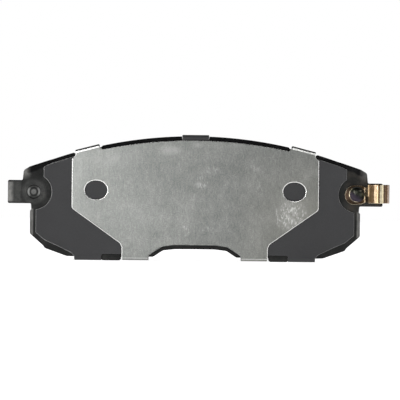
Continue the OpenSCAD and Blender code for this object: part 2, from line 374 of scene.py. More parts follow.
def stainless():
    m = Mat("stainless_cover")
    x, y, z = m.xyz()
    # short vertical rolling lines in two widths over a fine grain
    fine = m.noise(1700, 3, 0.6, m.mapping((1, 1, 0.4)))
    broad = m.noise(560, 3, 0.55, m.mapping((1, 1, 0.5)))
    grain = m.noise(2400, 2, 0.6)
    # soft blotches of handling
    blot = m.noise(150, 4, 0.62)
    cloud = m.noise(42, 3, 0.55)
    tone = m.math("ADD", m.span(fine, 0.3, 0.7, -0.75, 0.75), m.span(broad, 0.3, 0.7, -0.4, 0.4))
    tone = m.math("ADD", tone, m.span(grain, 0.3, 0.7, -0.9, 0.9))
    tone = m.math("ADD", tone, m.span(blot, 0.3, 0.7, -0.5, 0.5))
    tone = m.math("ADD", tone, m.span(cloud, 0.3, 0.7, -0.5, 0.5))
    fac = m.span(tone, -2.0, 2.0)
    col = m.ramp(fac, [(0.0, (0.122, 0.129, 0.125)), (0.5, (0.193, 0.199, 0.190)), (1.0, (0.287, 0.291, 0.278))])
    # a slightly warm patch beside one hole
    warm = m.math("MULTIPLY", m.span(x, 0.012, 0.044), m.span(z, 0.020, -0.010))
    col = m.mix(m.math("MULTIPLY", warm, 0.3), col, (0.265, 0.25, 0.205))
    # generic scuffs: short, mostly upright scratches in a few small places
    def strokes(scale, turn, shift, lo, hi):
        v = m.noise(scale, 2, 0.5, m.mapping((1.0, 1, 0.3), (0, turn, 0), (shift, 0, shift)), 0.25)
        return m.span(v, lo, hi)
    cut = m.math("MAXIMUM", strokes(1500, 0.30, 0.0, 0.56, 0.64), m.math("MULTIPLY", strokes(1900, -0.10, 0.4, 0.57, 0.65), 0.8))
    cut = m.math("MAXIMUM", cut, m.math("MULTIPLY", strokes(1700, 0.8, 0.7, 0.58, 0.66), 0.6))
    cut = m.math("MULTIPLY", cut, m.span(m.noise(520, 2, 0.5, m.mapping(loc=(0.1, 0, 0.3))), 0.36, 0.54))

    def zone(cx, cz, rx, rz, power, inner=0.5):
        d = m.n("VectorMath", {0: m.co, 1: (cx * MM, 0.0, cz * MM)}, operation="SUBTRACT").outputs[0]
        d = m.n("VectorMath", {0: d, 1: (1000.0 / rx, 0.0, 1000.0 / rz)}, operation="MULTIPLY").outputs[0]
        d = m.n("VectorMath", {0: d}, operation="LENGTH").outputs["Value"]
        return m.span(d, 1.0, inner, 0.0, power)

    zones = None
    for spec in ((36.2, -8.0, 6.8, 6.6, 0.78), (2.6, 4.2, 3.0, 3.4, 0.3), (5.6, 8.6, 5.0, 2.4, 0.18), (22.5, 9.4, 4.0, 2.2, 0.26),
                 (-3.0, -13.6, 2.2, 3.4, 0.32), (6.0, -14.0, 5.0, 1.6, 0.2), (24.5, 1.6, 1.8, 3.4, 0.18)):
        w = zone(*spec)
        zones = w if zones is None else m.math("MAXIMUM", zones, w)
    scuff = m.math("MULTIPLY", cut, zones)
    haze = m.math("MULTIPLY", zone(36.6, -8.2, 7.0, 7.0, 0.30, 0.2), m.span(m.noise(500, 4, 0.65), 0.35, 0.65))
    for spec in ((-9.5, 16.2, 5.5, 2.4, 0.24, 0.1), (0.8, 18.2, 3.0, 1.4, 0.16, 0.1), (1.2, 3.2, 2.2, 1.4, 0.16, 0.1),
                 (-30.0, 13.0, 12.0, 5.0, 0.10, 0.1), (-22.0, -8.0, 12.0, 7.0, 0.07, 0.1)):
        haze = m.math("MAXIMUM", haze, m.math("MULTIPLY", zone(*spec), m.span(m.noise(260, 4, 0.65), 0.3, 0.62, 0.35, 1.0)))
    scuff = m.math("ADD", scuff, haze, clamp=True)
    col = m.mix(scuff, col, (0.66, 0.66, 0.64))
    # painted highlight: the tab bends, upper and lower, get a bright line where the bend catches the light
    ax = m.math("ABSOLUTE", x)
    over = m.math("SUBTRACT", z, m.math("SUBTRACT", (17.35 + 36.35 * 0.2568) * MM, m.math("MULTIPLY", ax, 0.2568)))
    upper_bend_highlight = m.math("MULTIPLY", m.span(over, -0.00028, -0.00005), m.math("MULTIPLY", m.span(ax, 0.0350, 0.0356), m.span(over, 0.0006, 0.0004)))
    low_highlight = m.math("MULTIPLY", m.span(m.math("ABSOLUTE", m.math("ADD", z, 0.0248)), 0.0002, 0.00006, 0.0, 0.4), m.span(ax, 0.0165, 0.0170))
    bend_highlight = m.math("MULTIPLY", m.math("MAXIMUM", upper_bend_highlight, low_highlight), m.span(fine, 0.3, 0.6, 0.75, 1.0))
    col = m.mix(bend_highlight, col, (0.90, 0.90, 0.88))
    m.link(col, "Base Color")
    r = m.math("ADD", m.span(fine, 0.3, 0.7, -0.04, 0.05), m.span(blot, 0.3, 0.7, 0.35, 0.43))
    r = m.math("ADD", r, m.math("MULTIPLY", scuff, 0.12))
    m.link(r, "Roughness")
    h = m.math("ADD", m.math("MULTIPLY", fine, 0.7), m.math("ADD", m.math("MULTIPLY", broad, 0.5), m.math("MULTIPLY", grain, 0.6)))
    m.link(m.bump(h, 0.000014, 0.9), "Normal")
    m.set(metal=1.0)
    return m.m


def cut_edge():
    """The sheared and rolled rim of the stainless sheet: bright where it faces out sideways and in the holes, partly
    the burnished cut edge and partly a painted highlight of the side light; the rim facing up and down is painted dark
    as shade.
    """
    m = Mat("stainless_cut_edge")
    x, y, z = m.xyz()
    grain = m.noise(1500, 3, 0.6)
    run = m.noise(500, 2, 0.5)
    col = m.ramp(grain, [(0.3, (0.74, 0.74, 0.72)), (0.7, (0.95, 0.95, 0.93))])
    col = m.mix(m.span(run, 0.55, 0.75, 0.0, 0.3), col, (0.5, 0.5, 0.49))
    nrm = m.n("SeparateXYZ", {"Vector": m.n("TexCoord").outputs["Normal"]}).outputs
    out = m.math("MULTIPLY", nrm[0], m.math("SIGN", x))
    hx = m.math("SUBTRACT", m.math("ABSOLUTE", x), HOLE_X * MM)
    hz = m.math("SUBTRACT", z, HOLE_Z * MM)
    near = m.span(m.math("SQRT", m.math("ADD", m.math("MULTIPLY", hx, hx), m.math("MULTIPLY", hz, hz))), 0.0062, 0.0056)
    # painted highlight: rim faces turned out sideways and the hole rims are bright, the rest of the rim is painted dark
    # as shade
    keep = m.math("MAXIMUM", m.span(out, 0.02, 0.22), near)
    col = m.mix(keep, m.ramp(run, [(0.3, (0.13, 0.135, 0.13)), (0.7, (0.26, 0.262, 0.255))]), col)
    m.link(col, "Base Color")
    m.link(m.span(grain, 0.3, 0.7, 0.22, 0.34), "Roughness")
    m.link(m.bump(grain, 0.00001, 0.5), "Normal")
    m.set(metal=1.0)
    return m.m


def dark_rubber(name="shim_rubber_coat", dark=1.0):
    m = Mat(name)
    grain = m.noise(2600, 3, 0.6)
    mott = m.noise(160, 4, 0.6)
    cloud = m.noise(28, 3, 0.55)
    tone = m.math("ADD", m.span(grain, 0.3, 0.7, -0.35, 0.35), m.math("ADD", m.span(mott, 0.3, 0.7, -0.4, 0.4), m.span(cloud, 0.3, 0.7, -0.6, 0.6)))
    base = [(0.0175, 0.0175, 0.0188), (0.0245, 0.0245, 0.0260), (0.034, 0.034, 0.0358)]
    col = m.ramp(m.span(tone, -1.2, 1.2), [(0.0, [c * dark for c in base[0]]), (0.5, [c * dark for c in base[1]]), (1.0, [c * dark for c in base[2]])])
    e = m.edge(0.00035)
    col = m.mix(m.math("MULTIPLY", e, m.span(mott, 0.35, 0.6, 0.1, 0.5)), col, (0.09, 0.09, 0.093))
    m.link(col, "Base Color")
    m.link(m.span(mott, 0.3, 0.7, 0.54, 0.7), "Roughness")
    m.link(m.bump(m.math("ADD", grain, m.math("MULTIPLY", mott, 0.8)), 0.00002, 0.6), "Normal")
    m.set(spec=0.35)
    return m.m


def black_coat():
    m = Mat("black_plate_coating")
    x, y, z = m.xyz()
    ax = m.math("ABSOLUTE", x)
    peel = m.noise(520, 2, 0.5)
    grain = m.noise(2400, 3, 0.6)
    mott = m.noise(110, 4, 0.6)
    patch = m.noise(330, 4, 0.62, m.mapping(loc=(0.2, 0, 0.1)))
    nrm = m.n("SeparateXYZ", {"Vector": m.n("TexCoord").outputs["Normal"]}).outputs
    # painted shade: only faces turned to the front keep the dark grey; rolled and cut edges turned away, and a band
    # under the upper arc, are painted near black as shade
    lit_face = m.span(m.math("ABSOLUTE", nrm[1]), 0.86, 0.985)
    arc = m.math("SQRT", m.math("SUBTRACT", (TOP_R * MM) ** 2, m.math("MULTIPLY", x, x)))
    below = m.math("SUBTRACT", m.math("ADD", arc, (TOP_Z - TOP_R) * MM), z)
    wobble = m.span(patch, 0.3, 0.7, -0.00025, 0.00025)
    rim = m.span(m.math("ADD", below, wobble), 0.0016, 0.0023)
    lit_face = m.math("MULTIPLY", lit_face, rim)
    tone = m.math("ADD", m.span(grain, 0.3, 0.7, -0.4, 0.4), m.span(mott, 0.3, 0.7, -0.6, 0.6))
    tone = m.math("ADD", tone, m.span(patch, 0.3, 0.7, -0.7, 0.7))
    shade_black = m.ramp(m.span(tone, -1.4, 1.4), [(0.0, (0.0012, 0.0012, 0.0014)), (0.5, (0.003, 0.003, 0.0033)), (1.0, (0.009, 0.009, 0.0095))])
    flat = m.ramp(m.span(tone, -1.4, 1.4), [(0.0, (0.006, 0.006, 0.006)), (0.5, (0.012, 0.0125, 0.012)), (1.0, (0.026, 0.0255, 0.024))])
    # the left ear's flat is paler, with a darker ring where the shim's edge stops: painted shade in the step at that
    # edge, together with dirt
    ear = m.math("MULTIPLY", m.span(x, -0.0555, -0.0575), m.span(z, 0.0085, 0.0065))
    dx = m.math("SUBTRACT", ax, FIX_X * MM)
    far = m.math("SQRT", m.math("ADD", m.math("MULTIPLY", dx, dx), m.math("MULTIPLY", z, z)))
    ear = m.math("MULTIPLY", ear, m.span(far, 0.0052, 0.0042, 0.15, 1.0))
    ear = m.math("MAXIMUM", ear, m.math("MULTIPLY", m.span(x, -0.0655, -0.0665), m.span(m.math("ABSOLUTE", z), 0.0044, 0.0036)))
    flat = m.mix(ear, flat, m.ramp(m.span(tone, -1.4, 1.4), [(0.0, (0.014, 0.0145, 0.014)), (0.5, (0.034, 0.0345, 0.0335)), (1.0, (0.068, 0.067, 0.064))]))
    # painted shade with dirt: the right ear's root around the indicator is darker and browner, in the shade under the
    # strip
    grime_and_shade = m.math("MULTIPLY", m.span(x, 0.0560, 0.0580), m.span(m.math("ABSOLUTE", z), 0.0095, 0.0075))
    grime_and_shade = m.math("MULTIPLY", grime_and_shade, m.span(m.noise(210, 3, 0.6), 0.35, 0.6, 0.2, 1.0))
    flat = m.mix(grime_and_shade, flat, m.ramp(patch, [(0.3, (0.018, 0.019, 0.019)), (0.5, (0.034, 0.029, 0.024)), (0.7, (0.030, 0.033, 0.032))]))
    # the half-pierced pip: painted highlights on its left and right flanks and in the middle, where the side lights
    # glint on it
    px = m.math("ADD", x, FIX_X * MM)
    pr = m.math("SQRT", m.math("ADD", m.math("MULTIPLY", px, px), m.math("MULTIPLY", z, z)))
    ring = m.math("MULTIPLY", m.span(pr, 0.0015, 0.0019), m.span(pr, 0.0026, 0.0022))
    flank = m.span(m.math("DIVIDE", m.math("ABSOLUTE", px), m.math("MAXIMUM", pr, 0.0001)), 0.6, 0.95)
    dot = m.math("MULTIPLY", m.span(pr, 0.0011, 0.0007), 0.45)
    pip_highlight = m.math("MAXIMUM", m.math("MULTIPLY", m.math("MULTIPLY", ring, flank), m.span(patch, 0.35, 0.6, 0.5, 1.0)), dot)
    col = m.mix(lit_face, shade_black, flat)
    col = m.mix(pip_highlight, col, (0.23, 0.232, 0.226))
    # painted highlights: the lower side edges, the left ear's tip and the outer shoulder corners are lightened where
    # their rolled edges catch the side light, the left corner more than the right
    low_highlight = m.math("MULTIPLY", m.span(z, -0.0062, -0.0068), m.span(z, -0.0168, -0.0160))
    low_highlight = m.math("MULTIPLY", low_highlight, m.span(m.math("ABSOLUTE", m.math("SUBTRACT", ax, 0.0620)), 0.0007, 0.0004))
    tip_highlight = m.math("MULTIPLY", m.span(x, -0.0688, -0.0702), m.span(m.math("ABSOLUTE", z), 0.0040, 0.0034))
    corner_highlight = m.math("MULTIPLY", m.span(m.math("ADD", ax, wobble), 0.0622, 0.0646), m.span(z, 0.0046, 0.0070))
    corner_highlight = m.math("MULTIPLY", corner_highlight, m.math("MULTIPLY", m.span(ax, 0.0658, 0.0654), m.span(x, -0.01, 0.01, 1.0, 0.5)))
    rolled_edge_highlight = m.math("MAXIMUM", m.math("MULTIPLY", low_highlight, 0.55), m.math("MAXIMUM", m.math("MULTIPLY", tip_highlight, 0.9), m.math("MULTIPLY", corner_highlight, 0.8)))
    rolled_edge_highlight = m.math("MULTIPLY", rolled_edge_highlight, m.span(patch, 0.3, 0.6, 0.45, 1.0))
    col = m.mix(rolled_edge_highlight, col, (0.24, 0.237, 0.228))
    e = m.edge(0.0004)
    worn = m.math("MULTIPLY", e, m.span(m.noise(240, 3, 0.6), 0.48, 0.62))
    col = m.mix(m.math("MULTIPLY", worn, 0.35), col, (0.10, 0.097, 0.092))
    m.link(col, "Base Color")
    m.link(m.math("ADD", m.span(tone, -1.4, 1.4, 0.62, 0.48), m.span(lit_face, 0.0, 1.0, 0.22, 0.0)), "Roughness")
    m.link(m.bump(m.math("ADD", peel, m.math("ADD", m.math("MULTIPLY", grain, 0.35), m.math("MULTIPLY", patch, 0.8))), 0.00005, 0.8), "Normal")
    m.set(spec=0.12)
    return m.m


def gold_chromate():
    m = Mat("gold_chromated_spring")
    x, y, z = m.xyz()
    lines = m.noise(1500, 3, 0.6, m.mapping((0.08, 0.08, 1)))
    mott = m.noise(420, 3, 0.6)
    cloud = m.noise(150, 3, 0.5)
    # painted highlights and shade over the film's own colour: the bands along the strip, bend by bend, are mostly the
    # light and dark reflections of each bend, with the chromate film's colour changes beneath
    sway = m.math("ADD", x, m.span(m.noise(300, 3, 0.6), 0.3, 0.7, -0.00012, 0.00012))
    pos = m.span(sway, 0.0560, 0.0740)
    stops = [(56.0, (0.064, 0.053, 0.042)), (60.0, (0.042, 0.033, 0.024)), (64.0, (0.10, 0.062, 0.028)), (64.6, (0.90, 0.72, 0.48)),
             (65.55, (0.85, 0.62, 0.36)), (65.8, (0.045, 0.028, 0.014)), (66.4, (0.075, 0.050, 0.022)), (67.2, (0.090, 0.060, 0.026)),
             (67.55, (0.075, 0.048, 0.021)), (67.95, (0.77, 0.60, 0.40)), (69.05, (0.50, 0.36, 0.21)), (69.35, (0.11, 0.085, 0.035)),
             (69.7, (0.11, 0.085, 0.035)), (69.9, (1.0, 0.93, 0.68)), (70.95, (0.93, 0.82, 0.55)), (71.2, (0.125, 0.082, 0.043)),
             (72.8, (0.112, 0.070, 0.041)), (73.05, (0.44, 0.37, 0.325)), (74.0, (0.40, 0.34, 0.30))]
    col = m.ramp(pos, [((p - 56.0) / 18.0, c) for p, c in stops])
    hue = m.noise(330, 2, 0.5, m.mapping((1.6, 1.6, 0.5)))
    col = m.mix(m.span(hue, 0.35, 0.7, 0.0, 0.35), col, (0.30, 0.17, 0.12))
    tone = m.math("ADD", m.span(lines, 0.3, 0.7, -0.5, 0.5), m.span(mott, 0.3, 0.7, -0.4, 0.4))
    col = m.mix(m.span(tone, 0.9, -0.9, 0.0, 0.4), col, (0.10, 0.065, 0.03))
    # painted reflection: the neck's riser is painted dark below its middle, standing in for a dark reflection there
    neck_dark_reflection = m.math("MULTIPLY", m.span(m.math("ABSOLUTE", m.math("SUBTRACT", x, 0.0652)), 0.0008, 0.0006), m.span(z, -0.0003, -0.0008))
    col = m.mix(m.math("MULTIPLY", neck_dark_reflection, 0.9), col, (0.045, 0.030, 0.018))
    # the eyelet's ring is darker above and below the rivet
    eyelet_darker = m.math("MULTIPLY", m.span(x, 0.0640, 0.0634), m.span(m.math("ABSOLUTE", z), 0.0012, 0.0024))
    col = m.mix(m.math("MULTIPLY", eyelet_darker, 0.6), col, (0.016, 0.011, 0.007))
    # the sheared edges are bare and bright
    e = m.math("MULTIPLY", m.edge(0.00022), m.span(mott, 0.3, 0.55, 0.55, 1.0))
    col = m.mix(e, col, (0.92, 0.82, 0.62))
    m.link(col, "Base Color")
    m.link(m.math("ADD", m.span(cloud, 0.3, 0.7, 0.26, 0.36), m.span(lines, 0.3, 0.7, -0.03, 0.04)), "Roughness")
    m.link(m.bump(m.math("ADD", lines, mott), 0.00001, 0.6), "Normal")
    m.set(metal=1.0)
    return m.m


def rivet_finish():
    m = Mat("dark_rivet_finish")
    x, y, z = m.xyz()
    mott = m.noise(600, 3, 0.6)
    hue = m.noise(260, 2, 0.5)
    dx = m.math("SUBTRACT", x, FIX_X * MM)
    dz = m.math("SUBTRACT", z, FIX_Z * MM)
    # painted reflections: the head's colour runs from violet at the lower left through dark to greenish towards the
    # upper right, standing in for what the dome reflects
    lean = m.math("ADD", m.math("MULTIPLY", dx, 0.5), dz)
    side = m.math("ADD", m.span(lean, -0.0022, 0.0022, 0.0, 1.0), m.span(hue, 0.3, 0.7, -0.15, 0.15))
    col = m.ramp(side, [(0.2, (0.034, 0.026, 0.040)), (0.48, (0.016, 0.015, 0.016)), (0.62, (0.034, 0.038, 0.027)), (0.85, (0.014, 0.015, 0.013))])
    col = m.mix(m.span(mott, 0.45, 0.75, 0.0, 0.4), col, (0.09, 0.085, 0.075))
    # two small painted highlights on the upper half of the head, where the dome glints
    for cx, cz, wide, tall in ((0.0011, 0.0014, 0.0007, 0.0004), (-0.0011, 0.0011, 0.0004, 0.0007)):
        ex = m.math("DIVIDE", m.math("SUBTRACT", dx, cx), wide)
        ez = m.math("DIVIDE", m.math("SUBTRACT", dz, cz), tall)
        near = m.math("SQRT", m.math("ADD", m.math("MULTIPLY", ex, ex), m.math("MULTIPLY", ez, ez)))
        spot_highlight = m.math("MULTIPLY", m.span(near, 1.1, 0.3), m.span(mott, 0.35, 0.6, 0.3, 0.9))
        col = m.mix(spot_highlight, col, (0.34, 0.33, 0.27))
    # painted highlight: a thin gold ring on the flange's edge, brightest at the lower left where it catches the light
    r = m.math("SQRT", m.math("ADD", m.math("MULTIPLY", dx, dx), m.math("MULTIPLY", dz, dz)))
    ring = m.math("MULTIPLY", m.span(r, 0.00268, 0.00276), m.span(m.noise(900, 2, 0.5), 0.4, 0.6, 0.15, 1.0))
    turn = m.span(m.math("DIVIDE", m.math("ADD", dx, m.math("MULTIPLY", dz, 0.45)), m.math("MAXIMUM", r, 0.0001)), -0.2, -0.85)
    col = m.mix(m.math("MULTIPLY", ring, turn), col, (0.80, 0.68, 0.46))
    m.link(col, "Base Color")
    m.link(m.span(mott, 0.3, 0.7, 0.26, 0.42), "Roughness")
    m.link(m.bump(mott, 0.00003, 0.5), "Normal")
    m.set(metal=0.85, spec=0.3)
    return m.m


def lining():
    m = Mat("ceramic_lining")
    body = m.noise(240, 5, 0.65)
    vor = m.n("TexVoronoi", {"Vector": m.co, "Scale": 1500.0, "Randomness": 1.0}).outputs
    vor2 = m.n("TexVoronoi", {"Vector": m.co, "Scale": 620.0, "Randomness": 1.0}).outputs
    base = m.ramp(body, [(0.3, (0.060, 0.057, 0.053)), (0.5, (0.095, 0.092, 0.086)), (0.7, (0.135, 0.130, 0.122))])
    pick = m.n("SeparateColor", {"Color": vor["Color"]}).outputs
    pick2 = m.n("SeparateColor", {"Color": vor2["Color"]}).outputs
    dots = m.span(vor["Distance"], 0.34, 0.22)
    pale = m.math("MULTIPLY", dots, m.span(pick[0], 0.78, 0.82))
    dark = m.math("MULTIPLY", dots, m.span(pick[1], 0.74, 0.78))
    copper = m.math("MULTIPLY", m.span(vor2["Distance"], 0.26, 0.18), m.span(pick2[0], 0.9, 0.92))
    col = m.mix(m.math("MULTIPLY", pale, 0.7), base, (0.30, 0.29, 0.27))
    col = m.mix(m.math("MULTIPLY", dark, 0.85), col, (0.018, 0.017, 0.017))
    col = m.mix(copper, col, (0.34, 0.17, 0.08))
    fibre = m.span(m.noise(2100, 2, 0.5, m.mapping((0.12, 1, 1), (0.2, 0.5, 0.9))), 0.66, 0.72)
    col = m.mix(m.math("MULTIPLY", fibre, 0.5), col, (0.32, 0.31, 0.28))
    m.link(col, "Base Color")
    m.link(m.span(body, 0.3, 0.7, 0.82, 0.93), "Roughness")
    h = m.math("ADD", m.math("MULTIPLY", body, 1.2), m.math("MULTIPLY", vor["Distance"], 0.5))
    h = m.math("SUBTRACT", h, m.math("MULTIPLY", dark, 0.6))
    m.link(m.bump(h, 0.00012, 0.8), "Normal")
    m.set(spec=0.3)
    return m.m


def under_mat():
    m = Mat("underlayer_mix")
    body = m.noise(420, 4, 0.65)
    fib = m.noise(1500, 2, 0.5, m.mapping((0.2, 1, 1), (0.3, 0.2, 0.4)))
    col = m.ramp(body, [(0.3, (0.040, 0.036, 0.031)), (0.5, (0.064, 0.057, 0.049)), (0.7, (0.098, 0.088, 0.075))])
    col = m.mix(m.span(fib, 0.62, 0.72, 0.0, 0.6), col, (0.22, 0.20, 0.16))
    m.link(col, "Base Color")
    m.link(m.span(body, 0.3, 0.7, 0.78, 0.92), "Roughness")
    m.link(m.bump(m.math("ADD", body, fib), 0.0001, 0.7), "Normal")
    m.set(spec=0.3)
    return m.m


def bond_mat():
    m = Mat("cured_bond")
    body = m.noise(500, 3, 0.6)
    col = m.ramp(body, [(0.3, (0.028, 0.014, 0.008)), (0.7, (0.075, 0.038, 0.02))])
    m.link(col, "Base Color")
    m.link(m.span(body, 0.3, 0.7, 0.3, 0.5), "Roughness")
    m.link(m.bump(body, 0.00006, 0.6), "Normal")
    return m.m


def bare_steel():
    m = Mat("shim_core_steel")
    lines = m.noise(1100, 3, 0.6, m.mapping((1, 0.1, 0.1)))
    mott = m.noise(300, 3, 0.6)
    col = m.ramp(mott, [(0.3, (0.15, 0.15, 0.15)), (0.7, (0.27, 0.27, 0.265))])
    x, y, z = m.xyz()
    # painted shade: the core steel below the outer shim's lower edge is made near black, as the shade there
    foot_shade = m.math("MULTIPLY", m.span(m.math("ABSOLUTE", x), 0.0365, 0.0355), m.span(z, -0.0190, -0.0215))
    col = m.mix(m.math("MULTIPLY", foot_shade, 0.95), col, (0.012, 0.012, 0.012))
    m.link(col, "Base Color")
    m.link(m.math("ADD", m.span(mott, 0.3, 0.7, 0.3, 0.42), m.span(lines, 0.3, 0.7, -0.04, 0.04)), "Roughness")
    m.link(m.bump(lines, 0.00001, 0.6), "Normal")
    m.set(metal=1.0)
    return m.m


M_STEEL = stainless()
M_CUT = cut_edge()
M_RUBBER = dark_rubber()
M_RUBBER_IN = dark_rubber("shim_rubber_coat_inner", 0.9)
M_BLACK = black_coat()
M_GOLD = gold_chromate()
M_RIVET = rivet_finish()
M_LINING = lining()
M_UNDER = under_mat()
M_BOND = bond_mat()
M_CORE = bare_steel()


# ------------------------------------------------------------------ backing plate

def at_top(x, d, r=0.0, w=0.3):
    return (x, arc_z(TOP_R, TOP_Z, x) - d, r, w)


W0 = 0.32
WA = 1.15
RECESS = 0.45
plate_right = (
    [(0, 20.8, 0, W0), (5.15, 20.8, 0.15, 0.12), (5.25, TOP_Z - 0.09, 0.1, 0.15), (5.6, TOP_Z - 0.1, 0, 0.7), (7, TOP_Z - 0.15, 0, WA)]
    + arc_pts(TOP_R, TOP_Z, 9, 33.5, 10, WA)
    + [at_top(34.6, 0, 0, 0.6), at_top(35.4, 0, 0.4, 0.2), at_top(35.8, RECESS, 0.2, 0.15), at_top(37, RECESS)]
    + [at_top(38.5 + 1.5 * i, RECESS) for i in range(5)]
    + [at_top(45.9, RECESS, 0.2, 0.15), at_top(46.3, 0, 0.4, 0.2), at_top(47.3, 0, 0, 0.7)]
    + arc_pts(TOP_R, TOP_Z, 48.5, 54, 4, WA)
    + [(56, TOP_Z - 9.75, 0, WA), (60.5, 10.42, 0, 1.1), (62.9, 9.6, 2, 1.1), (65.2, 8.2, 1.4, 1.2), (65.6, EAR, 0.5, 0.35),
       (68.5, EAR, 0, 0.3), (HALF, EAR, 0.6, 0.6), (HALF, EAR - 1.6, 0, 1.5), (HALF, -EAR + 1.6, 0, 1.5),
       (HALF, -EAR, 0.6, 0.6), (68.5, -EAR, 0, 0.3), (62.4, -EAR, 0.5, 0.3), (62.2, -6.7, 0.5, 0.35),
       (62.7, -7.2, 0.4, 0.8), (62.7, -9.0, 0, 1.1), (62.7, -15.9, 1.2, 1.0), (57.7, -20.3, 2, 0.7), (56.9, -21.4, 0.8, 0.6),
       (48.7, -24.3, 2.5, 0.5), (45, BOTTOM, 3, 0.3), (35.44, BOTTOM, 0.1, 0.1), (35.44, FOOT, 0.9, 0.3),
       (28.2, FOOT, 0.8, 0.45), (28.1, BOTTOM, 0.2, 0.2), (15.8, BOTTOM + 0.1, 1.4, 0.3),
       (12, -21.8, 2.5, 0.5), (7.5, -21.3, 6, 0.6), (0, -21.25, 0, 0.6)])

plate_profile = []
for i in range(7):
    a = math.pi / 2 * i / 6
    plate_profile.append((1 - math.sin(a), Y_PLATE + 0.55 * (1 - math.cos(a))))
plate_profile += [(0.0, Y_PLATE + 1.6), (0.0, Y_FILM - 1.4), (0.0, Y_FILM - 0.3)]
for i in range(1, 4):
    a = math.pi / 2 * (1 - i / 3)
    plate_profile.append(((1 - math.sin(a)) * 0.4, Y_FILM - 0.25 * (1 - math.cos(a))))
bm = solid_sheet(mirrored(plate_right), plate_profile,
                 holes=[(KEY_X, 0, KEY_R, KEY_R, 0, 72), (-KEY_X, 0, KEY_R, KEY_R, 0, 72), (FIX_X, FIX_Z, 1.62, 1.62, 0, 40)],
                 hole_inset=0.3,
                 hole_profile=[(1.0, Y_PLATE), (0.35, Y_PLATE + 0.1), (0.0, Y_PLATE + 0.4), (0.0, Y_FILM - 0.3), (0.3, Y_FILM)])
# the rolled edge is steeper along the upper arc than at the ends
for v in bm.verts:
    d = v.co.y - Y_PLATE
    if 1e-4 < d < 0.56 and abs(v.co.x) < 60 and v.co.z > 9.5 and v.co.z > arc_z(TOP_R, TOP_Z, v.co.x) - 1.7:
        k = min(1.0, max(0.0, (59.0 - abs(v.co.x)) / 4.0))
        v.co.y = Y_PLATE + d * (1 + 1.3 * k)
plate = finish_mesh(bm, "plate_body", "pad", M_BLACK, ["backing_plate"])


def lathe(profile, cx, cz, seg, closed_axis=True):
    """Turns (radius, y) points about the Y axis at (cx, cz)."""
    bm = bmesh.new()
    prev = None
    for r, y in profile:
        if r < 1e-6:
            ring = [bm.verts.new((cx, y, cz))]
        else:
            ring = [bm.verts.new((cx + r * math.cos(2 * math.pi * i / seg), y, cz + r * math.sin(2 * math.pi * i / seg))) for i in range(seg)]
        if prev:
            if len(prev) == 1 and len(ring) > 1:
                for i in range(seg):
                    bm.faces.new((prev[0], ring[i], ring[(i + 1) % seg]))
            elif len(ring) == 1 and len(prev) > 1:
                for i in range(seg):
                    bm.faces.new((prev[i], ring[0], prev[(i + 1) % seg]))
            else:
                loop_faces(bm, prev, ring)
        prev = ring
    bmesh.ops.recalc_face_normals(bm, faces=bm.faces)
    return bm


# the half-pierced pip: a ring groove with a proud centre, cut into the left ear
pip = [(0.0, Y_PLATE - 1), (2.75, Y_PLATE - 1), (2.75, Y_PLATE - 0.02), (2.62, Y_PLATE + 0.06), (2.5, Y_PLATE + 0.2),
       (2.3, Y_PLATE + 0.3), (2.0, Y_PLATE + 0.33), (1.7, Y_PLATE + 0.28), (1.5, Y_PLATE + 0.17), (1.3, Y_PLATE + 0.06),
       (1.0, Y_PLATE - 0.005), (0.55, Y_PLATE + 0.0), (0.4, Y_PLATE + 0.08), (0.25, Y_PLATE + 0.2), (0.0, Y_PLATE + 0.24)]
cut = finish_mesh(lathe(pip, -FIX_X, 0, 56), "pip_cutter", None, M_BLACK, weighted=False)
boo = plate.modifiers.new("pip", "BOOLEAN")
boo.operation = "DIFFERENCE"
boo.object = cut
boo.solver = "EXACT"
plate.modifiers.move(len(plate.modifiers) - 1, 0)
bpy.context.view_layer.update()
dg = bpy.context.evaluated_depsgraph_get()
keep = plate.modifiers.get("normals")
keep.show_viewport = False
bpy.context.view_layer.update()
dg = bpy.context.evaluated_depsgraph_get()
new = bpy.data.meshes.new_from_object(plate.evaluated_get(dg))
keep.show_viewport = True
plate.modifiers.remove(plate.modifiers["pip"])
plate.data = new
bpy.data.objects.remove(cut)

# ------------------------------------------------------------------ bent shims


def bent_sheet(ctrl, y0, y1, yc, tabs, edge_w, reach, holes=(), lean=0.0, edge_index=0):
    """A sheet whose tabs are bent towards +Y. tabs are (base x, base z, outward nx, nz, half width)."""
    k = 3
    e = min(edge_w, (y1 - y0) * 0.49)
    bm = solid_sheet(ctrl, round_profile(y0, y1, e, e, k), holes, edge_w, edge_index=edge_index)
    rn = yc - (y0 + y1) / 2
    length = math.pi / 2 * BEND_MID
    for bx, bz, nx, nz, hw in tabs:
        n = Vector((nx, 0, nz))
        t = Vector((nz, 0, -nx))
        base = Vector((bx, 0, bz))

        def near(v, lo=-0.3):
            d = v.co - base
            return abs(d.dot(t)) < hw + 0.6 and d.dot(n) > lo

        for i in range(9):
            s = length * i / 8
            fs = [f for f in bm.faces if any(near(v) for v in f.verts)]
            geom = list({v for f in fs for v in f.verts}) + list({ed for f in fs for ed in f.edges}) + fs
            bmesh.ops.bisect_plane(bm, geom=geom, dist=1e-5, plane_co=base + n * s, plane_no=n)
        for v in bm.verts:
            d = v.co - base
            s = d.dot(n)
            if s <= 1e-6 or abs(d.dot(t)) > hw + 0.6:
                continue
            along = d.dot(t)
            r = yc - v.co.y
            a = min(s / length, 1.0) * (math.pi / 2 + lean)
            out = r * math.sin(a)
            yy = yc - r * math.cos(a)
            rest = max(0.0, s - length)
            out += rest * math.cos(a)
            yy += rest * math.sin(a)
            v.co = base + t * along + n * out + Vector((0, yy, 0))
    bmesh.ops.recalc_face_normals(bm, faces=bm.faces)
    return bm


TURN = math.asin(41 / TOP_R)
EDGE_Z = arc_z(TOP_R, TOP_Z, 41)
E1 = 0.3


def tab_corner(bx, bz, nx, nz, u, s, r, w):
    """A control corner at distance u along the tab's base and s outwards."""
    return (bx + nz * u + nx * s, bz - nx * u + nz * s, r, w)


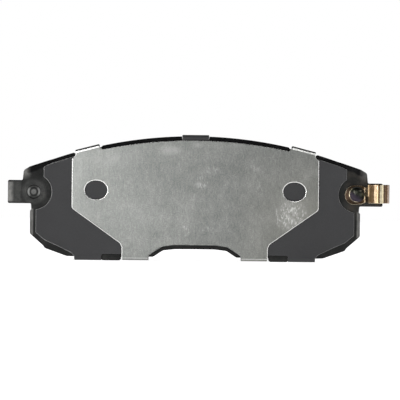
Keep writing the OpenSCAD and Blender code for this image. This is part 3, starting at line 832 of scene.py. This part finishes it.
# outer shim
BEND_MID = 0.75
out_len = math.pi / 2 * BEND_MID + (REACH - 1.0)
tb = (41 - 0.3 * math.sin(TURN), EDGE_Z - 0.3, math.sin(TURN), math.cos(TURN))
LOW = 24.6
outer_right = (
    [(0, 20.1, 0, E1)] + arc_pts(168, 20.1, 4, 34.2, 10, E1)
    + [(35.1, 16.38, 0.15, E1), tab_corner(*tb, -4.7, 0.0, 0.12, E1)]
    + [tab_corner(*tb, -4.7, out_len, 0.5, E1), tab_corner(*tb, 4.7, out_len, 0.5, E1)]
    + [tab_corner(*tb, 4.7, 0.0, 0.12, E1), (45.55, 13.95, 0.4, E1),
       (46.85, 12.75, 0.3, E1), (46.85, -6.1, 1.8, E1), (28.4, -19.2, 1.2, E1), (27.75, -20.6, 1.0, E1),
       (27.7, -LOW - out_len, 0.5, E1), (17.5, -LOW - out_len, 0.5, E1), (17.4, -23.8, 0.3, E1), (16.2, -22.8, 1.0, E1),
       (12.2, -20.3, 2.5, E1), (7.5, -19.7, 6, E1), (0, -19.7, 0, E1)])
outer_ctrl = mirrored(outer_right)
outer_tabs = []
for s in (1, -1):
    outer_tabs.append((s * tb[0], tb[1], s * tb[2], tb[3], 4.7))
    outer_tabs.append((s * 22.6, -LOW, 0.0, -1.0, 5.1))
bm = bent_sheet(outer_ctrl, 0.0, 0.5, 1.0, outer_tabs, E1, REACH,
                holes=[(s * HOLE_X, HOLE_Z, 4.0, 3.55, 0.25, 72) for s in (-1, 1)], lean=math.radians(0.8), edge_index=1)
outer = finish_mesh(bm, "outer_shim_cover", "outer_shim", [M_STEEL, M_CUT], ["outer_shim"])

# inner shim, three layers that bend about one line
BEND_MID = 0.9
in_len = math.pi / 2 * BEND_MID + (REACH + 0.4 - 1.8)
E2 = 0.06
inner_right = (
    [(0, 20.85 + in_len, 0, E2), (5.1, 20.85 + in_len, 0.5, E2), (5.1, 19.9, 0.25, E2)]
    + arc_pts(168, 19.93, 6.4, 55, 14, E2)
    + [(56, 10.25, 0, E2), (57.5, 9.6, 1.0, E2)])
# the round clearance about the ear's root
a0 = math.atan2(math.sqrt(6.7 ** 2 - 3.6 ** 2), -3.6)
a1 = 2 * math.pi - math.acos(-0.7 / 6.7)
inner_right += [(61.1 + 6.7 * math.cos(a0 + (a1 - a0) * i / 26), 6.7 * math.sin(a0 + (a1 - a0) * i / 26), 0.0, E2) for i in range(27)]
inner_right += [(60.4, -15.5, 0.8, E2),
                (57, -18.3, 1.5, E2), (52, -20.5, 3, E2), (46.7, -23.1, 0.8, E2), (45.75, -24.3, 0.3, E2),
                (45.6, -24.45 - in_len, 0.5, E2), (35.5, -24.45 - in_len, 0.5, E2), (35.4, -24.1, 0.25, E2), (35.1, -23.4, 0.5, E2), (17, -23.4, 1.2, E2),
                (12.8, -19.9, 2.5, E2), (7.5, -19.3, 6, E2), (0, -19.3, 0, E2)]
inner_ctrl = mirrored(inner_right)
inner_tabs = [(0.0, 20.85, 0.0, 1.0, 5.1), (40.55, -24.45, 0.0, -1.0, 5.05), (-40.55, -24.45, 0.0, -1.0, 5.05)]
for nm, a, b, mat, node, slot in (
        ("inner_shim_coat_rear", Y_IN, Y_CORE, M_RUBBER, "inner_shim_rear_rubber", "shim_rubber"),
        ("inner_shim_steel", Y_CORE, Y_FRONT, M_CORE, "inner_shim_core", "shim_steel"),
        ("inner_shim_coat_front", Y_FRONT, Y_PLATE, M_RUBBER_IN, "inner_shim_front_rubber", "shim_rubber")):
    # the coats stop just short of the sheared steel edge
    ctrl = inner_ctrl if nm == "inner_shim_steel" else control_inset([(p[0], p[1], p[2], 0.11) for p in inner_ctrl], 1.0)
    bm = bent_sheet([(p[0], p[1], p[2], E2) for p in ctrl], a, b, 1.8, inner_tabs, E2, REACH + 0.4)
    finish_mesh(bm, nm, "inner_shim", mat, [node])

# ------------------------------------------------------------------ wear indicator


def path_points(ctrl):
    """An open rounded path in the XY plane."""
    n = len(ctrl)
    pts = []
    for i, (x, y, r) in enumerate(ctrl):
        p = np.array([x, y], float)
        if i in (0, n - 1) or r <= 0:
            pts.append(p)
            continue
        a, b = np.array(ctrl[i - 1][:2], float), np.array(ctrl[i + 1][:2], float)
        u, v = a - p, b - p
        lu, lv = np.linalg.norm(u), np.linalg.norm(v)
        u, v = u / lu, v / lv
        t = math.acos(float(u @ v)) / 2
        c = p + (u + v) / np.linalg.norm(u + v) * r / math.sin(t)
        s, e = p + u * r / math.tan(t) - c, p + v * r / math.tan(t) - c
        a0 = math.atan2(s[1], s[0])
        turn = (math.atan2(e[1], e[0]) - a0 + 3 * math.pi) % (2 * math.pi) - math.pi
        k = max(4, math.ceil(abs(turn) / math.radians(6)))
        pts += [c + r * np.array([math.cos(a0 + turn * j / k), math.sin(a0 + turn * j / k)]) for j in range(k + 1)]
    return pts


STRIP_Y = Y_PLATE - 0.4
END_Y = Y_BLOCK + 1.2
strip_ctrl = [(60.5, STRIP_Y, 0), (64.6, STRIP_Y, 0.7), (65.8, -1.1, 0.7), (67.7, -1.3, 1), (69.2, -1.9, 1.5),
              (70.9, -1.5, 0.7), (71.75, 0.65, 0.7), (73.4, 1.15, 1), (73.4, END_Y - 1.6, 1.5), (72.7, END_Y, 0)]
path = path_points(strip_ctrl)
cum = [0.0]
for p, q in zip(path, path[1:]):
    cum.append(cum[-1] + float(np.linalg.norm(q - p)))
total = cum[-1]


def on_path(s):
    """Point and unit direction at arc length s, straight on beyond both ends."""
    if s <= 0:
        d = (path[1] - path[0]) / np.linalg.norm(path[1] - path[0])
        return path[0] + d * s, d
    if s >= total:
        d = (path[-1] - path[-2]) / np.linalg.norm(path[-1] - path[-2])
        return path[-1] + d * (s - total), d
    j = 0
    while cum[j + 1] < s - 1e-9:
        j += 1
    seg = path[j + 1] - path[j]
    f = (s - cum[j]) / (cum[j + 1] - cum[j])
    p = path[j] + seg * f
    # direction smoothed between the path's corners

    def corner_dir(i):
        a, b = path[max(i - 1, 0)], path[min(i + 1, len(path) - 1)]
        return (b - a) / np.linalg.norm(b - a)

    d = corner_dir(j) * (1 - f) + corner_dir(j + 1) * f
    return p, d / np.linalg.norm(d)


ZC, HW = 0.4, 3.55
EW = 0.16
eye = [(3.75 * math.cos(a), -0.05 + 3.75 * math.sin(a), 0.0, EW) for a in [math.radians(100 + 160 * i / 26) for i in range(27)]]
flat = []
# clockwise in (s, z): along the top from the neck to the finger's end, then back
flat += [(2.6, 3.6, 0.8, EW), (4.2, 2.95, 0.7, EW), (5.5, 2.95, 0.5, EW), (6.1, ZC + HW, 0.45, EW)]
flat += [(total, ZC + HW, 1.1, EW), (total, ZC - HW, 1.1, EW)]
flat += [(6.1, ZC - HW, 0.45, EW), (5.5, -2.78, 0.5, EW), (4.2, -2.78, 0.7, EW), (2.6, -3.5, 0.8, EW)]
flat += list(reversed(eye))
bm = solid_sheet(flat, round_profile(-0.4, 0.4, EW, EW, 3), holes=[(FIX_X - 60.5, FIX_Z, 1.65, 1.65, 0, 48)], hole_inset=0.12)
for s in cum[1:-1]:
    bmesh.ops.bisect_plane(bm, geom=bm.verts[:] + bm.edges[:] + bm.faces[:], dist=1e-5, plane_co=(s, 0, 0), plane_no=(1, 0, 0))
for v in bm.verts:
    p, d = on_path(v.co.x)
    nrm = np.array([-d[1], d[0]])
    q = p + nrm * v.co.y
    v.co = Vector((q[0], q[1], v.co.z))
strip = finish_mesh(bm, "indicator_spring", "pad", M_GOLD, ["wear_indicator"])

# ------------------------------------------------------------------ rivet: flanged dome, shank and a flush tail
ys = Y_PLATE - 0.8
prof = [(0.0, ys - 1.25)]
for i in range(1, 15):
    a = math.radians(46 * i / 14)
    prof.append((3.7 * math.sin(a), ys - 1.25 + 3.7 * (1 - math.cos(a))))
prof += [(2.74, ys - 0.2), (2.80, ys - 0.17), (2.93, ys - 0.17), (3.0, ys - 0.11), (3.0, ys - 0.03), (2.95, ys), (1.62, ys), (1.6, ys + 0.05),
         (1.6, Y_FILM - 1.0), (2.5, Y_FILM - 0.12), (2.45, Y_FILM - 0.05), (0.9, Y_FILM - 0.02), (0.5, Y_FILM - 0.2), (0.0, Y_FILM - 0.22)]
bm = lathe(prof, FIX_X, FIX_Z, 72)
for v in bm.verts:
    if v.co.y < ys - 0.15:
        d = Vector((v.co.x - FIX_X, 0, v.co.z - FIX_Z))
        v.co.y += 0.05 * noise.noise(Vector((v.co.x * 0.7, 3.1, v.co.z * 0.7))) * (1 - d.length / 3.2)
rivet = finish_mesh(bm, "rivet_body", "pad", M_RIVET, ["wear_indicator_rivet"])

# ------------------------------------------------------------------ lining stack
WL = 0.35
lining_right = (
    [(0, 19.8, 0, WL)] + arc_pts(162, 19.8, 3, 53, 12, WL)
    + [(55, 10.15, 0, WL), (58.4, 8.7, 2.5, WL), (59.2, -14.2, 2.5, WL), (54.4, -19.4, 3, WL),
       (47.5, -22.3, 3, WL), (17, -22.3, 1.5, WL), (12.5, -18.9, 3, WL), (7, -18.4, 6, WL), (0, -18.4, 0, WL)])
lining_ctrl = mirrored(lining_right)


def resampled(loop2, step):
    """Even points along a closed polyline."""
    p = np.array(loop2)
    seg = np.linalg.norm(np.roll(p, -1, 0) - p, axis=1)
    c = np.concatenate([[0], np.cumsum(seg)])
    n = int(c[-1] / step)
    out = []
    for i in range(n):
        s = c[-1] * i / n
        j = int(np.searchsorted(c, s, "right") - 1)
        f = (s - c[j]) / seg[j]
        out.append(p[j] * (1 - f) + p[(j + 1) % len(p)] * f)
    return out


def side_band(ctrl, ys_list, wobble, freq, step, seed, inset=0.0):
    """A closed band between two flat faces whose wall is slightly uneven, as a moulded edge is."""
    p2, _ = rounded(control_inset(ctrl, inset) if inset else ctrl)
    p2 = resampled(p2, step)
    p = np.array(p2)
    t = np.roll(p, -1, 0) - np.roll(p, 1, 0)
    t /= np.linalg.norm(t, axis=1)[:, None]
    nrm = np.stack([-t[:, 1], t[:, 0]], 1)  # outward of a clockwise loop
    bm = bmesh.new()
    loops = []
    for y, out in ys_list:
        ring = []
        for q, n in zip(p, nrm):
            w = noise.noise(Vector((q[0] * freq, y * freq * 1.5 + seed, q[1] * freq))) * wobble
            w += noise.noise(Vector((q[0] * freq * 4, y * freq * 6 + seed, q[1] * freq * 4))) * wobble * 0.5
            o = out + w - wobble
            ring.append(bm.verts.new((q[0] + n[0] * o, y, q[1] + n[1] * o)))
        loops.append(ring)
    for a, b in zip(loops, loops[1:]):
        loop_faces(bm, a, b)
    cap(bm, loops[0], [], -1)
    cap(bm, loops[-1], [], 1)
    bmesh.ops.recalc_face_normals(bm, faces=bm.faces)
    return bm


bm = side_band(lining_ctrl, [(Y_FILM, 0.0), (Y_FILM + 0.05, 0.06), (Y_FILM + 0.1, 0.06), (Y_UNDER, 0.0)], 0.12, 0.5, 0.8, 2.0)
finish_mesh(bm, "bond_line", "pad", M_BOND, ["adhesive_film"])

ylist = [(Y_UNDER, -0.12), (Y_UNDER + 0.12, 0.0), (Y_UNDER + 0.5, 0.03), (Y_UNDER + 0.95, 0.02), (Y_UNDER + 1.4, 0.03), (Y_BLOCK - 0.1, 0.0), (Y_BLOCK, -0.08)]
bm = side_band(lining_ctrl, ylist, 0.14, 0.45, 0.6, 9.0)
under = finish_mesh(bm, "underlayer_body", "pad", M_UNDER, ["underlayer"])
for s in (-1, 1):
    # the plugs that key the underlayer into the plate, their faces a little sunk and rough
    bm = bmesh.new()
    prev = None
    seg = 56
    for r, y in ([(0.0, 0.0)] + [(KEY_R * i / 10, 0.0) for i in range(1, 10)] + [(KEY_R - 0.12, 0.02), (KEY_R - 0.03, 0.14), (KEY_R - 0.03, 2.0), (KEY_R - 0.03, Y_UNDER - Y_PLATE - 0.15), (0.0, Y_UNDER - Y_PLATE - 0.15)]):
        yy = Y_PLATE + 0.15 + y
        if r == 0:
            ring = [bm.verts.new((s * KEY_X, yy, 0))]
        else:
            ring = []
            for i in range(seg):
                a = 2 * math.pi * i / seg
                px, pz = s * KEY_X + r * math.cos(a), r * math.sin(a)
                ring.append(bm.verts.new((px, yy + (0.1 * noise.noise(Vector((px * 1.3, 0, pz * 1.3))) if y < 0.01 else 0), pz)))
        if prev is not None:
            if len(prev) == 1:
                for i in range(seg):
                    bm.faces.new((prev[0], ring[i], ring[(i + 1) % seg]))
            elif len(ring) == 1:
                for i in range(seg):
                    bm.faces.new((prev[i], ring[0], prev[(i + 1) % seg]))
            else:
                loop_faces(bm, prev, ring)
        prev = ring
    finish_mesh(bm, "underlayer_plug_" + ("left" if s < 0 else "right"), "pad", M_UNDER, [])


def friction_mesh():
    """The lining block: rings along the outline with a slightly uneven wall, closed by flat caps; the slot and chamfers
    are cut later.
    """
    bm = bmesh.new()
    p2, _ = rounded(lining_ctrl)
    p2 = resampled(p2, 0.6)
    p = np.array(p2)
    t = np.roll(p, -1, 0) - np.roll(p, 1, 0)
    t /= np.linalg.norm(t, axis=1)[:, None]
    nrm = np.stack([-t[:, 1], t[:, 0]], 1)
    loops = []
    ylist = [Y_BLOCK + 0.0, Y_BLOCK + 0.1] + [Y_BLOCK + 0.1 + 8.5 * i / 12 for i in range(1, 13)] + [Y_ROTOR - 0.08, Y_ROTOR]
    for y in ylist:
        ring = []
        for q, n in zip(p, nrm):
            w = 0.10 * noise.noise(Vector((q[0] * 0.5, y * 0.7 + 20, q[1] * 0.5))) + 0.05 * noise.noise(Vector((q[0] * 2, y * 2.5 + 20, q[1] * 2))) - 0.15
            if y == ylist[0] or y == ylist[-1]:
                w -= 0.1
            ring.append(bm.verts.new((q[0] + n[0] * w, y, q[1] + n[1] * w)))
        loops.append(ring)
    for a, b in zip(loops, loops[1:]):
        loop_faces(bm, a, b)
    cap(bm, loops[0], [], -1)
    cap(bm, loops[-1], [], 1)
    bmesh.ops.recalc_face_normals(bm, faces=bm.faces)
    return bm


bm = friction_mesh()
block = finish_mesh(bm, "lining_block", "pad", M_LINING, ["friction_block"], weighted=False)


def box_mesh(pts, name):
    b = bmesh.new()
    vs = [b.verts.new(q) for q in pts]
    for f in ((0, 1, 3, 2), (4, 6, 7, 5), (0, 4, 5, 1), (2, 3, 7, 6), (0, 2, 6, 4), (1, 5, 7, 3)):
        b.faces.new([vs[i] for i in f])
    bmesh.ops.recalc_face_normals(b, faces=b.faces)
    return finish_mesh(b, name, None, M_LINING, weighted=False)


cuts = []
# the slot
cuts.append(box_mesh([(x, y, z) for x in (-1.3, 1.3) for y in (Y_BLOCK + 1.0, Y_ROTOR + 3) for z in (-40, 40)], "cut_slot"))
# the end chamfers
for s in (-1, 1):
    x0, x1 = 50.5, 64.0
    d1 = 3.0 * (x1 - x0) / 9.0
    pts = [(s * x0, Y_ROTOR + 0.001, -40), (s * x0, Y_ROTOR + 0.001, 40), (s * x0, Y_ROTOR + 6, -40), (s * x0, Y_ROTOR + 6, 40),
           (s * x1, Y_ROTOR - d1, -40), (s * x1, Y_ROTOR - d1, 40), (s * x1, Y_ROTOR + 6, -40), (s * x1, Y_ROTOR + 6, 40)]
    cuts.append(box_mesh(pts, "cut_end"))
for c in cuts:
    mo = block.modifiers.new("cut", "BOOLEAN")
    mo.operation = "DIFFERENCE"
    mo.object = c
    mo.solver = "EXACT"
bv = block.modifiers.new("edges", "BEVEL")
bv.width = 0.22 * MM
bv.segments = 2
bv.limit_method = "ANGLE"
bv.angle_limit = math.radians(15)
bv.harden_normals = False
bpy.context.view_layer.update()
dg = bpy.context.evaluated_depsgraph_get()
new = bpy.data.meshes.new_from_object(block.evaluated_get(dg))
block.modifiers.clear()
block.data = new
for c in cuts:
    bpy.data.objects.remove(c)
for p_ in block.data.polygons:
    p_.use_smooth = True
w_ = block.modifiers.new("normals", "WEIGHTED_NORMAL")
w_.mode = "FACE_AREA"
w_.weight = 80

# ------------------------------------------------------------------ floor, light, camera

FRONT, BAND, TOP, SIDE, BACK = 0.02, 0.06, 0.15, 0.8, 0.5

floor_mat = Mat("studio_floor")
fl = floor_mat.noise(3.0, 2, 0.5)
floor_mat.link(floor_mat.span(fl, 0.3, 0.7, 0.55, 0.6), "Roughness")
floor_mat.set(color=(0.93, 0.93, 0.93), spec=0.2)
floor_mat.b.inputs["Emission Color"].default_value = (1, 1, 1, 1)
floor_mat.b.inputs["Emission Strength"].default_value = 0.8
fb = bmesh.new()
bmesh.ops.create_grid(fb, x_segments=8, y_segments=8, size=1.0)
fme = bpy.data.meshes.new("studio_floor")
fb.to_mesh(fme)
fb.free()
fme.materials.append(floor_mat.m)
floor = bpy.data.objects.new("studio_floor", fme)
bpy.context.scene.collection.objects.link(floor)
floor.location = (0, 0, -25.8 * MM)
floor.scale = (1.3, 1.3, 1)

world = bpy.data.worlds.new("studio")
bpy.context.scene.world = world
world.use_nodes = True
wt = world.node_tree
wt.nodes.clear()


def wn(kind, ins=None, **attrs):
    node = wt.nodes.new("ShaderNode" + kind)
    for k, v in attrs.items():
        setattr(node, k, v)
    for k, v in (ins or {}).items():
        if isinstance(v, bpy.types.NodeSocket):
            wt.links.new(v, node.inputs[k])
        else:
            node.inputs[k].default_value = v
    return node


def wm(op, a, b=0.0):
    return wn("Math", {0: a, 1: b}, operation=op).outputs[0]


def step(v, lo, hi, a=0.0, b=1.0):
    return wn("MapRange", {"Value": v, "From Min": lo, "From Max": hi, "To Min": a, "To Max": b}, interpolation_type="SMOOTHSTEP").outputs[0]


# a tent of soft light: grey in front with a band above it, bright at both sides, dim overhead, bright low behind
dirs = wn("SeparateXYZ", {"Vector": wn("TexCoord").outputs["Generated"]}).outputs
band = wm("MULTIPLY", step(dirs[2], 0.22, 0.42), step(dirs[2], 0.82, 0.66))
base = wm("ADD", wm("MULTIPLY", step(dirs[2], 0.75, 0.9, 1.0, TOP), FRONT), wm("MULTIPLY", band, BAND))
side = wm("MULTIPLY", step(wm("ABSOLUTE", dirs[0]), 0.45, 0.8), step(dirs[2], 0.3, 0.75, SIDE, 0.0))
glow = wm("ADD", base, side)
rear = step(dirs[2], 0.3, 0.7, BACK, BACK * 0.1)
mixer = wn("Mix", {0: step(dirs[1], -0.1, 0.35), 2: glow, 3: rear}, data_type="FLOAT").outputs[0]
light = wn("Background", {"Color": (1, 1, 1, 1), "Strength": mixer}).outputs[0]
paper = wn("Background", {"Color": (1, 1, 1, 1), "Strength": 1.0}).outputs[0]
ray = wn("LightPath").outputs["Is Camera Ray"]
shade = wn("MixShader", {0: ray, 1: light, 2: paper}).outputs[0]
wt.links.new(shade, wn("OutputWorld").inputs["Surface"])


def area(name, loc, target, size, power, size_y=None, color=(1, 1, 1)):
    li = bpy.data.lights.new(name, "AREA")
    li.energy = power
    li.color = color
    li.shape = "RECTANGLE" if size_y else "SQUARE"
    li.size = size
    if size_y:
        li.size_y = size_y
    ob = bpy.data.objects.new(name, li)
    bpy.context.scene.collection.objects.link(ob)
    ob.location = loc
    d = Vector(target) - Vector(loc)
    ob.rotation_euler = d.to_track_quat("-Z", "Y").to_euler()
    ob.visible_camera = False
    return ob


area("strip_left", (-0.75, -0.3, 0.1), (0, 0, 0), 0.15, 0.8, 0.6)
area("strip_right", (0.75, -0.3, 0.1), (0, 0, 0), 0.15, 0.8, 0.6)
area("bar_top", (0.0, -0.55, 0.34), (0, 0, 0), 0.4, 0.6, 0.05)
area("strip_mid", (0.30, -0.565, 0.0), (0, 0, 0), 0.04, 0.15, 0.4)
area("key_left", (-0.198, -0.609, -0.01), (0, 0, 0), 0.12, 1.9, 0.3)
over = area("overhead", (0.0, 0.1, 1.2), (0, 0.1, 0), 1.6, 5.5)
over.visible_glossy = False

cam_data = bpy.data.cameras.new("camera")
cam_data.lens = 150
cam_data.sensor_width = 36
cam_data.clip_start = 0.05
cam_data.clip_end = 20
cam = bpy.data.objects.new("camera", cam_data)
bpy.context.scene.collection.objects.link(cam)
dist = 0.15154 * 150 / 36
cam.location = (1.84 * MM, -dist, -2.52 * MM)
cam.rotation_euler = (Matrix.Rotation(math.radians(90), 4, "X") @ Matrix.Rotation(math.radians(0.59), 4, "Z")).to_euler()
bpy.context.scene.camera = cam
bpy.context.scene.view_settings.view_transform = "Standard"
